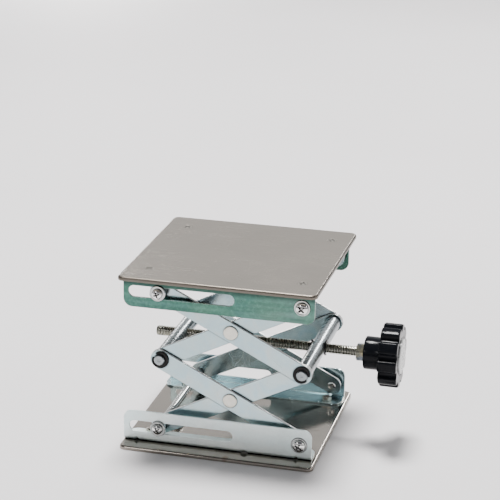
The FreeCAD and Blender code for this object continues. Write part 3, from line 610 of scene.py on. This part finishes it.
def hex_nut(flats, height, bore, segments):
    """A hexagon nut with turned chamfers that scallop its corners."""
    half = flats / 2
    start = half * 0.96
    slope = math.tan(math.radians(30))
    lead_in = 0.45
    verts, faces = [], []
    for i in range(segments):
        angle = 2 * math.pi * i / segments
        local = (angle + math.pi / 6) % (math.pi / 3) - math.pi / 6
        reach = min(half / math.cos(local), half * 1.145)
        drop = max(reach - start, 0) * slope
        section = [
            (bore, height * 0.5),
            (bore, height - lead_in),
            (bore + lead_in, height),
            (start, height),
            ((start + reach) / 2, height - drop * 0.5),
            (reach, height - drop),
            (reach, drop),
            ((start + reach) / 2, drop * 0.5),
            (start, 0.0),
            (bore + lead_in, 0.0),
            (bore, lead_in),
        ]
        verts += [(r * math.cos(angle), r * math.sin(angle), z) for r, z in section]
    count = len(section)
    for i in range(segments):
        j = (i + 1) % segments
        for k in range(count):
            m = (k + 1) % count
            faces.append((i * count + k, j * count + k, j * count + m, i * count + m))
    return verts, faces


def clip(outside):
    """An open retaining ring: a crescent that is widest opposite its mouth, with three inner lugs."""
    outer, inner = [], []
    lug_height, lug_half, lug_end = 0.95, 13, 22  # the lugs' half widths in degrees
    count = 72

    def sweep(radius):
        """Angles from one side of the mouth to the other, at that radius."""
        gap = math.asin(CLIP_MOUTH / 2 / radius)
        return [-math.pi / 2 + gap + i / count * (2 * math.pi - 2 * gap) for i in range(count + 1)]

    for angle in sweep(outside / 2):
        reach = outside / 2 - 1.1 * max(0.0, -math.sin(angle)) ** 1.5
        outer.append((reach * math.cos(angle), reach * math.sin(angle)))
    for angle in sweep(CLIP_INSIDE / 2 + 0.4):
        turned = math.degrees(angle) % 360
        near = min(abs((turned - lug + 180) % 360 - 180) for lug in (90, 210, 330))
        share = min(max((near - lug_half) / (lug_end - lug_half), 0), 1)
        radius = CLIP_INSIDE / 2 + lug_height * share
        inner.append((radius * math.cos(angle), radius * math.sin(angle)))
    return slab(outer + inner[::-1], [], CLIP_THICKNESS, 0.16, 2)


def pan_head(diameter, height, recess):
    """A domed cross-recess head, seat at z = 0, with a rolled lower edge."""
    r = diameter / 2
    profile = [(0, 0), (r * 0.96, 0), (r, height * 0.10), (r, height * 0.28)]
    for i in range(1, 12):
        a = math.pi / 2 * i / 12
        profile.append((r * math.cos(a), height * (0.28 + 0.72 * math.sin(a))))
    profile.append((0, height))
    return carved(lathe(profile, 56), [cross_cutter(recess, height * 0.68, height)])


def sunk_head(diameter, shank, height, recess):
    """A countersunk head, flat face at z = 0 and its cone below."""
    r = diameter / 2
    profile = [(0, 0), (r - 0.12, 0), (r, -0.12), (r, -0.3), (shank, -height), (0, -height)]
    return carved(lathe(profile, 48), [cross_cutter(recess, 1.5, 0)])


# ---------------------------------------------------------------- pieces
def mesh_from(shape):
    mesh = bpy.data.meshes.new("piece")
    verts, faces = shape
    mesh.from_pydata([Vector(v) * MM for v in verts], [], faces)
    work = bmesh.new()
    work.from_mesh(mesh)
    bmesh.ops.remove_doubles(work, verts=work.verts, dist=2e-6)
    bmesh.ops.dissolve_degenerate(work, edges=work.edges, dist=1e-6)
    bmesh.ops.recalc_face_normals(work, faces=work.faces)
    work.to_mesh(mesh)
    work.free()
    return mesh


def smooth(obj):
    for polygon in obj.data.polygons:
        polygon.use_smooth = True


def keep_flats_flat(obj):
    modifier = obj.modifiers.new("weighted", "WEIGHTED_NORMAL")
    modifier.keep_sharp = True


def piece(name, shapes, finish, body, node, sharp=32, weighted=True):
    """One object made of these shapes, which rides on its body and stands for its CAD node."""
    obj = bpy.data.objects.new(name, mesh_from(joined(shapes)))
    bpy.context.scene.collection.objects.link(obj)
    obj.data.materials.append(MATERIALS[finish])
    smooth(obj)
    obj.data.set_sharp_from_angle(angle=math.radians(sharp))
    if weighted:
        keep_flats_flat(obj)
    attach(obj, body)
    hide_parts(node)


def solids_of(node):
    """The boxes of a node's separate solids, in millimetres, found by following its edges."""
    work = bmesh.new()
    work.from_mesh(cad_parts[node].data)
    bmesh.ops.remove_doubles(work, verts=work.verts, dist=1e-6)
    seen, boxes = set(), []
    for vert in work.verts:
        if vert in seen:
            continue
        stack, points = [vert], []
        seen.add(vert)
        while stack:
            v = stack.pop()
            points.append(v.co.copy())
            for edge in v.link_edges:
                other = edge.other_vert(v)
                if other not in seen:
                    seen.add(other)
                    stack.append(other)
        low = Vector([min(p[i] for p in points) for i in range(3)]) / MM
        high = Vector([max(p[i] for p in points) for i in range(3)]) / MM
        boxes.append((low, high))
    work.free()
    return boxes


def sides_of(node):
    """Each of a node's solids as its side, and its inner and outer distance from the middle."""
    sides = []
    for low, high in solids_of(node):
        near, far = sorted((abs(low.y), abs(high.y)))
        sides.append((FRONT if low.y + high.y < 0 else REAR, near, far))
    return sides


# ---------------------------------------------------------------- lead screw, its clips and its lock nut
X_AXIS, Y_AXIS, Z_AXIS = (1, 0, 0), (0, 1, 0), (0, 0, 1)


def build_drive():
    length = SCREW_HIGH.x - SCREW_LOW.x
    clip_places = sorted((low.x + high.x) / 2 for low, high in solids_of("lead_screw_clips"))
    half_groove = 0.56

    def limit(height):
        grooved = any(abs(SCREW_LOW.x + height - x) < half_groove for x in clip_places)
        return GROOVE if grooved else THREAD

    turns = thread(THREAD, THREAD_PITCH, 0, length, 28, 0.8, limit)
    screw = placed(turns, (SCREW_LOW.x, 0, MID_Z), X_AXIS)
    piece("lead_screw_thread", [screw], "thread", "lead_screw", "lead_screw", 50, False)

    ring = clip(12.6)
    clips = [placed(ring, (x, 0, MID_Z), X_AXIS, turn) for x, turn in zip(clip_places, (200, 20))]
    piece("lead_screw_retainers", clips, "black_oxide", "lead_screw", "lead_screw_clips", 40)

    place = (NUT_LOW.x, 0, MID_Z)
    nut = placed(hex_nut(13.0, NUT_HIGH.x - NUT_LOW.x, THREAD, 96), place, X_AXIS, 14)
    mark = placed(lathe([(5.35, -0.02), (5.95, -0.02), (5.95, 0.06), (5.35, 0.06)], 48, True), place, X_AXIS)
    piece("lock_nut", [nut, mark], "yellow_nut", "lead_screw", "knob_lock_nut", 28)


# ---------------------------------------------------------------- knob
def quarter_turn(steps, first=0):
    return [math.pi / 2 * i / steps for i in range(first, steps + 1)]


def build_knob():
    """The star grip and its hub, swept along the lead screw, and the cap in its recess."""
    full = KNOB_HIGH.x - KNOB_LOW.x
    radius = (KNOB_HIGH.z - KNOB_LOW.z) / 2 + 0.05
    cap = (CAP_HIGH.y - CAP_LOW.y) / 2
    hub, hub_length, fillet = 12.65, 13.0, 0.9
    bore = 4.1
    lobes, samples = 10, 26
    groove, depth, blend = 3.0, 3.4, 1.28
    centre = radius - depth + groove
    corner = blend * 0.75

    def star(angle):
        """The outline's radius: round lobes and U-shaped grooves between them."""
        pitch = 2 * math.pi / lobes
        local = (angle + pitch / 2) % pitch - pitch / 2
        across = centre * math.sin(abs(local))
        value = radius
        if across < groove:
            value = centre * math.cos(local) - math.sqrt(groove * groove - across * across)
        if value > radius - blend:
            over = across - groove * 0.86
            fallen = corner * math.exp(-over * 1.25)
            value = radius - fallen if over > 0 else min(value, radius - corner)
        return min(value, radius)

    count = lobes * samples
    turned = math.radians(20.5)
    angles = [2 * math.pi * i / count + turned for i in range(count)]
    reach = [star(2 * math.pi * i / count) for i in range(count)]
    rows = []

    def row(radii, x):
        rows.append([(r * math.cos(a), r * math.sin(a), x) for r, a in zip(radii, angles)])

    def round_row(r, x):
        row([r] * count, x)

    def star_row(inset, x):
        row([s - inset for s in reach], x)

    round_row(bore, fillet)
    round_row(4.9, 0.0)
    round_row(hub - fillet, 0.0)
    for a in quarter_turn(4, 1):
        round_row(hub - fillet + fillet * math.sin(a), fillet - fillet * math.cos(a))
    round_row(hub, 5.0)
    round_row(hub, hub_length - 1.0)
    for a in quarter_turn(3, 1):
        sunk = fillet + 0.1 * (1 - a / (math.pi / 2))
        round_row(hub + fillet * (1 - math.cos(a)), hub_length - sunk + fillet * math.sin(a))
    for share in (0.35, 0.7, 1.0):
        row([(hub + fillet) * (1 - share) + (s - 2.4) * share for s in reach], hub_length)
    edge = 1.25
    star_row(1.6, hub_length)
    for a in quarter_turn(5):
        star_row(edge * (1 - math.sin(a)), hub_length + edge * (1 - math.cos(a)))
    star_row(0.0, hub_length + 5.0)
    star_row(-0.02, (hub_length + full) / 2)
    star_row(0.0, full - 5.0)
    for a in quarter_turn(5):
        star_row(edge * (1 - math.cos(a)), full - edge * (1 - math.sin(a)))
    star_row(2.0, full)
    rim = [(2.6, 0), (1.9, 0.05), (1.5, 0.35), (1.1, 0.35), (0.75, 0.05), (0.25, 0)]
    seat = [(0.08, 0.15), (0.04, 1.2)]
    for outside, deep in rim + seat:
        round_row(cap + outside, full - deep)
    round_row(bore, full - 1.2)
    grip = [v for line in rows for v in line], between_rings(len(rows), count, closed=True)
    knob = placed(grip, (KNOB_LOW.x, 0, MID_Z), X_AXIS)
    piece("star_knob", [knob], "moulded_black", "lead_screw", "knob", 50, False)

    proud = CAP_HIGH.x - CAP_LOW.x
    profile = [(0, 0), (cap - 0.3, 0), (cap, 0.3), (cap, proud - 0.75)]
    for a in quarter_turn(5, 1):
        profile.append((cap - 0.7 * (1 - math.cos(a)), proud - 0.75 + 0.55 * math.sin(a)))
    for inside, deep in ((1.6, 0.16), (2.0, 0.34), (2.5, 0.34), (2.9, 0.16)):
        profile.append((cap - inside, proud - deep))
    for r, deep in ((7.5, 0.04), (3.4, 0), (3.1, 0.25), (2.7, 0.25), (2.4, 0), (0, 0)):
        profile.append((r, proud - deep))
    disc = placed(lathe(profile, 96), (CAP_LOW.x, 0, MID_Z), X_AXIS)
    piece("knob_cover_disc", [disc], "moulded_grey", "lead_screw", "knob_cap", 30)


# ---------------------------------------------------------------- cross rods, rivets and links
def build_rods():
    """Each rod steps down to a grooved pin at both ends, and the lead screw's bore crosses it."""
    bore = lathe([(0, -9), (SCREW_BORE, -9), (SCREW_BORE, 9), (0, 9)], 48)
    countersink = lathe([(0, 4.95), (SCREW_BORE, 4.95), (5.2, 6.2), (5.2, 8), (0, 8)], 48)
    spot_face = lathe([(0, 5.2), (7.1, 5.2), (7.1, 9), (0, 9)], 64)
    for node, x, body, mouth in (
        ("threaded_cross_rod", NUTROD_X, "threaded_rod", countersink),
        ("thrust_cross_rod", THRUST_X, "thrust_rod", spot_face),
    ):
        end = box_mm(node)[1].y
        half = [(0, end - 0.5), (0.9, end - 0.35), (1.2, end), (3.4, end), (ROD_PIN, end - 0.6)]
        half += [(ROD_PIN, GROOVE_FAR + 0.02), (GROOVE, GROOVE_FAR), (GROOVE, GROOVE_NEAR)]
        half += [(ROD_PIN, GROOVE_NEAR - 0.02), (ROD_PIN, ROD_SHOULDER + 0.15), (4.15, ROD_SHOULDER)]
        half += [(5.5, ROD_SHOULDER), (ROD, ROD_SHOULDER - 0.5), (ROD, 20), (ROD, 0)]
        place = (x, 0, MID_Z)
        cutters = [placed(bore, place, X_AXIS)]
        cutters += [placed(mouth, place, (direction, 0, 0)) for direction in (1, -1)]
        rod = carved(placed(lathe(mirrored(half), 64), place, Y_AXIS), cutters)
        piece(node + "_turned", [rod], "rod", body, node)

    ring = clip(13.6)
    for node, x, body, turns in (
        ("threaded_rod_clips", NUTROD_X, "threaded_rod", {FRONT: 235, REAR: 60}),
        ("thrust_rod_clips", THRUST_X, "thrust_rod", {FRONT: 60, REAR: 120}),
    ):
        clips = []
        for side, near, far in sides_of(node):
            clips.append(placed(ring, (x, side * (near + far) / 2, MID_Z), (0, side, 0), turns[side]))
        piece(node.replace("clips", "retainers"), clips, "black_oxide", body, node, 40)


def build_rivets():
    head_height, tail_height = 1.0, 1.2
    for node, body, z in (
        ("lower_crossing_rivets", "lower_outer_links", LOWER_Z),
        ("upper_crossing_rivets", "upper_outer_links", UPPER_Z),
    ):
        rivets = []
        for side, near, far in sides_of(node):
            head, tail = far - head_height, near + tail_height
            profile = [(0, near + 0.25), (1.6, near + 0.22), (2.4, near), (3.7, near + 0.1)]
            profile += [(4.6, near + 0.55), (4.75, near + 0.9), (4.7, tail), (RIVET_SHANK, tail)]
            profile += [(RIVET_SHANK, head), (5.15, head), (5.5, head + 0.3), (5.45, head + 0.6)]
            profile += [(5.2, head + 0.86), (4.85, far - 0.02)]
            profile += [(2.9, far), (2.6, far - 0.05), (1.4, far - 0.07), (0, far - 0.07)]
            rivets.append(placed(lathe(profile, 56), (CROSS_X, 0, z), (0, side, 0)))
        piece(node + "_formed", rivets, "rivet", body, node, 30)


def link_outline(length):
    points = []
    for centre, start in ((length / 2, -90), (-length / 2, 90)):
        for i in range(25):
            a = math.radians(start + 180 * i / 24)
            points.append((centre + LINK_WIDTH / 2 * math.cos(a), LINK_WIDTH / 2 * math.sin(a)))
    return points


def build_links():
    length = math.hypot(MID_Z - BASE_Z, FIXED_X - SLIDE_X)
    for kind, (x0, z0, start_bore), (x1, z1, end_bore) in (
        ("lower_outer", (FIXED_X, BASE_Z, PIVOT_BORE), (NUTROD_X, MID_Z, PIN_BORE)),
        ("lower_inner", (SLIDE_X, BASE_Z, SLIDE_BORE), (THRUST_X, MID_Z, PIN_BORE)),
        ("upper_inner", (NUTROD_X, MID_Z, PIN_BORE), (FIXED_X, TOP_Z, PIVOT_BORE)),
        ("upper_outer", (THRUST_X, MID_Z, PIN_BORE), (SLIDE_X, TOP_Z, SLIDE_BORE)),
    ):
        bores = [circle(start_bore, -length / 2), circle(RIVET_BORE), circle(end_bore, length / 2)]
        bar = slab(link_outline(length), bores, LINK_THICKNESS, LINK_EDGE, 3)
        run = Vector((x1 - x0, 0, z1 - z0)).normalized()
        for name, side in (("front", FRONT), ("rear", REAR)):
            node = f"{kind}_link_{name}"
            across = Vector((0, side, 0))
            turn = Matrix((run, across.cross(run), across)).transposed().to_4x4()
            centre = Vector(((x0 + x1) / 2, middle(node).y, (z0 + z1) / 2))
            link = moved(bar, Matrix.Translation(centre) @ turn)
            piece(node + "_stamped", [link], "link", kind + "_links", node, 40)


# ---------------------------------------------------------------- screws, nuts, washers, bushes and axles
def build_pivots():
    """The pivots that don't slide: a screw, a washer and a spacer on each side of each pan."""
    head = pan_head(9.5, PIVOT_HEAD_HEIGHT, 6.4)
    for group, body, z, turns in (
        ("base", "base", BASE_Z, {FRONT: 62, REAR: 20}),
        ("top", "top_platform", TOP_Z, {FRONT: 45, REAR: 75}),
    ):
        node = group + "_pivot_screws"
        screws = []
        for side, near, far in sides_of(node):
            seat = far - PIVOT_HEAD_HEIGHT
            screws.append(placed(head, (FIXED_X, side * seat, z), (0, side, 0), turns[side]))
            shank = [(0, near + 0.2), (1.2, near + 0.15), (2.3, near), (3.1, near + 0.3)]
            shank += [(PEENED, near + 0.7), (PEENED, near + 1.2), (PIVOT_SHANK, near + 1.2)]
            shank += [(PIVOT_SHANK, seat + 0.1), (0, seat + 0.1)]
            screws.append(placed(lathe(shank, 40), (FIXED_X, 0, z), (0, side, 0)))
        piece(node + "_cross", screws, "fastener", body, node)
        for kind, outside, edge in (("washers", 6.0, 0.2), ("spacers", 5.0, 0.3)):
            node = f"{group}_pivot_{kind}"
            rings = []
            for side, near, far in sides_of(node):
                profile = [(PIVOT_BORE, near + edge), (PIVOT_BORE + edge, near), (outside - edge, near)]
                profile += [(outside, near + edge), (outside, far - edge), (outside - edge, far)]
                profile += [(PIVOT_BORE + edge, far), (PIVOT_BORE, far - edge)]
                rings.append(placed(lathe(profile, 56, True), (FIXED_X, 0, z), (0, side, 0)))
            piece(node + "_turned", rings, "bush", body, node)


def build_slides():
    """The pivots that slide: an axle from side to side, with a flanged bush and a screw at each end."""
    head = pan_head(8.0, SLIDE_HEAD_HEIGHT, 5.4)
    for group, body, z, turns in (
        ("base", "lower_inner_links", BASE_Z, {FRONT: 35, REAR: 10}),
        ("top", "upper_outer_links", TOP_Z, {FRONT: 20, REAR: 50}),
    ):
        node = group + "_slide_screws"
        screws = []
        for side, near, far in sides_of(node):
            seat = far - SLIDE_HEAD_HEIGHT
            screws.append(placed(head, (SLIDE_X, side * seat, z), (0, side, 0), turns[side]))
            shank = [(0, near), (1.6, near), (SLIDE_SHANK, near + 0.5)]
            shank += [(SLIDE_SHANK, seat + 0.1), (0, seat + 0.1)]
            screws.append(placed(lathe(shank, 32), (SLIDE_X, 0, z), (0, side, 0)))
        piece(node + "_cross", screws, "fastener", body, node)

        node = group + "_slide_bushes"
        bushes = []
        for side, near, far in sides_of(node):
            flange = far - 1.6
            profile = [(AXLE_BORE, near), (BUSH_SLEEVE - 0.2, near), (BUSH_SLEEVE, near + 0.2)]
            profile += [(BUSH_SLEEVE, flange - 0.35), (BUSH_SLEEVE - 0.15, flange - 0.1)]
            profile += [(BUSH_SLEEVE - 0.15, flange), (BUSH_FLANGE - 0.25, flange)]
            profile += [(BUSH_FLANGE, flange + 0.25), (BUSH_FLANGE, far - 0.35)]
            profile += [(BUSH_FLANGE - 0.35, far), (4.9, far), (4.6, far - 0.12), (2.3, far - 0.12)]
            profile += [(AXLE_BORE, far - 0.3)]
            bushes.append(placed(lathe(profile, 64, True), (SLIDE_X, 0, z), (0, side, 0)))
        piece(node + "_turned", bushes, "bush", body, node)

        node = group + "_slide_axle"
        end = box_mm(node)[1].y
        half = [(AXLE_BORE, end - AXLE_TAPPED), (AXLE_BORE, end - 0.3), (2.4, end), (2.6, end)]
        half += [(AXLE, end - 0.4), (AXLE, 30), (AXLE, 0)]
        profile = [(0, end - AXLE_TAPPED), *mirrored(half), (0, AXLE_TAPPED - end)]
        axle = placed(lathe(profile, 48), (SLIDE_X, 0, z), Y_AXIS)
        piece(node + "_turned", [axle], "axle", body, node)


def build_rail_screws():
    """Countersunk screws through each pan, and their nuts on the rails."""
    head = sunk_head(7.5, RAIL_SCREW, 2.2, 5.6)
    tip = thread(RAIL_SCREW, 0.7, 0, RAIL_SCREW_END, 16, 0.45)
    nut = hex_nut(7.0, 3.2, 2.04, 60)
    for group, body, up in (("base", "base", 1), ("top", "top_platform", -1)):
        node = group + "_rail_screws"
        screws = []
        for i, (low, high) in enumerate(solids_of(node)):
            x, y = (low.x + high.x) / 2, (low.y + high.y) / 2
            face, end = (low.z, high.z) if up > 0 else (high.z, low.z)
            screws.append(placed(head, (x, y, face), (0, 0, -up), 20 + x))
            screws.append(placed(tip, (x, y, end - up * RAIL_SCREW_END), (0, 0, up), 40 * i))
        piece(node + "_sunk", screws, "sunk", body, node)

        node = group + "_rail_nuts"
        nuts = []
        for low, high in solids_of(node):
            nuts.append(placed(nut, ((low.x + high.x) / 2, (low.y + high.y) / 2, low.z), Z_AXIS, 30))
        piece(node + "_chamfered", nuts, "plated_nut", body, node, 28)


# ---------------------------------------------------------------- pans and rails, which keep their CAD shape
def keep_shape(node, finish, edge):
    """Gives a CAD node its material, and edges broken by that many millimetres."""
    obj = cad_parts[node]
    obj.data.materials.clear()
    obj.data.materials.append(MATERIALS[finish])
    smooth(obj)
    weld = obj.modifiers.new("weld", "WELD")
    weld.merge_threshold = 2e-6
    bevel = obj.modifiers.new("broken_edge", "BEVEL")
    bevel.width = edge * MM
    bevel.segments = 2
    bevel.limit_method = "ANGLE"
    bevel.angle_limit = math.radians(40)
    bevel.harden_normals = True
    keep_flats_flat(obj)


def build_kept():
    keep_shape("top_plate", "top_stainless", 0.12)
    keep_shape("base_plate", "base_stainless", 0.12)
    keep_shape("base_rail_front", "base_rail", 0.16)
    keep_shape("base_rail_rear", "rear_rail_shaded", 0.16)
    keep_shape("top_rail_front", "top_rail", 0.16)
    keep_shape("top_rail_rear", "top_rail", 0.16)


# ---------------------------------------------------------------- room, lights and camera, in metres
def build_floor():
    side = 8.0
    mesh = bpy.data.meshes.new("floor")
    corners = [(-side, -side, 0), (side, -side, 0), (side, side, 0), (-side, side, 0)]
    mesh.from_pydata(corners, [], [(0, 1, 2, 3)])
    mesh.materials.append(MATERIALS["floor"])
    floor = bpy.data.objects.new("floor", mesh)
    bpy.context.scene.collection.objects.link(floor)


def build_world():
    """Two soft walls, one in front and one behind, each in bands from the horizon up."""
    world = bpy.data.worlds.new("studio")
    n = Nodes(world, "Generated")
    front = [
        (0.0, (0.14, 0.14, 0.15)),
        (0.12, (0.16, 0.16, 0.17)),
        (0.20, (0.72, 0.72, 0.73)),
        (0.31, (0.70, 0.70, 0.72)),
        (0.40, (0.07, 0.07, 0.08)),
        (1.0, (0.18, 0.18, 0.19)),
    ]
    behind = [
        (0.0, (0.11, 0.11, 0.11)),
        (0.12, (0.20, 0.20, 0.20)),
        (0.22, (1.08, 1.07, 1.06)),
        (0.52, (1.08, 1.09, 1.11)),
        (0.74, (0.18, 0.18, 0.19)),
    ]
    back = n.remap(n.axis("Y"), -0.25, 0.65, interpolation_type="SMOOTHSTEP")
    sky = n.tree.nodes["Background"]
    n.link(n.mix(back, n.ramp(n.axis("Z"), front), n.ramp(n.axis("Z"), behind)), sky.inputs["Color"])
    sky.inputs["Strength"].default_value = 1.0
    bpy.context.scene.world = world


def build_lights():
    for name, place, aim_height, size, power in (
        ("key", (-0.24, 0.52, 2.65), 0.02, 0.68, 182.0),
        ("back", (0.25, 1.86, 0.86), 0.08, 0.25, 9.0),
        ("low", (-0.80, 1.84, 0.24), 0.08, 0.20, 4.0),
        ("front", (-0.55, -1.35, 0.85), 0.07, 0.22, 2.0),
        ("side", (1.5, 0.1, 0.9), 0.07, 0.4, 3.0),
    ):
        light = bpy.data.lights.new(name, "AREA")
        light.size = size
        light.energy = power
        light.color = (1.0, 0.985, 0.98)
        lamp = bpy.data.objects.new(name, light)
        lamp.location = place
        lamp.rotation_mode = "QUATERNION"
        lamp.rotation_quaternion = (Vector((0, 0, aim_height)) - Vector(place)).to_track_quat("-Z", "Y")
        bpy.context.scene.collection.objects.link(lamp)


def build_camera():
    """The photograph's view: from the front, a little to the right and above, and slightly rolled."""
    azimuth, elevation, roll = math.radians(14.128), math.radians(19.003), math.radians(0.822)
    aim, distance = Vector((0.006784, 0, 0.142418)), 1.37676
    level = Vector((math.sin(azimuth), -math.cos(azimuth), 0))
    back = level * math.cos(elevation) + Vector((0, 0, math.sin(elevation)))
    right = (-back).cross(Vector(Z_AXIS)).normalized()
    up = right.cross(-back)
    rolled_right = right * math.cos(roll) + up * math.sin(roll)
    rolled_up = up * math.cos(roll) - right * math.sin(roll)
    data = bpy.data.cameras.new("camera")
    data.lens = 130.78
    data.sensor_width = 36.0
    data.clip_start = 0.05
    data.clip_end = 50
    camera = bpy.data.objects.new("camera", data)
    bpy.context.scene.collection.objects.link(camera)
    turn = Matrix((rolled_right, rolled_up, back)).transposed().to_4x4()
    camera.matrix_world = Matrix.Translation(aim + back * distance) @ turn
    bpy.context.scene.camera = camera


build_drive()
build_knob()
build_rods()
build_rivets()
build_links()
build_pivots()
build_slides()
build_rail_screws()
build_kept()
build_floor()
build_world()
build_lights()
build_camera()

bpy.context.view_layer.update()
